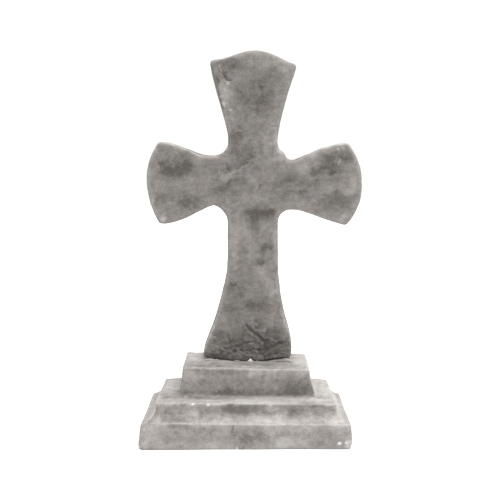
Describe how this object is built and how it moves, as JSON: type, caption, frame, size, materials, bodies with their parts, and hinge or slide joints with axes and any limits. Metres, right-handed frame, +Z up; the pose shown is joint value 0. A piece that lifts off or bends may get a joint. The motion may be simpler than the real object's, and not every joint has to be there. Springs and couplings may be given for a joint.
{
  "type": "standing cross",
  "caption": "Cast stone standing cross with flared, round-ended limbs and a flat back, let into a stepped base with a coved middle tier.",
  "frame": {"origin": "centre of the whole part's box in X and Y, at the height of the underside", "axes": "+Z up along the cross's shaft, the front faces -Y, +X to the right seen from the front, and the flat back faces +Y"},
  "size_m": [0.1761, 0.0742, 0.3054],
  "materials": {
    "cross_stone": "matte grey cast stone, mottled with darker weathering",
    "base_stone": "matte pale grey cast stone with a few white chips"
  },
  "bodies": {
    "root": {"cross": "cross_stone", "stepped_base": "base_stone"}
  },
  "joints": []
}
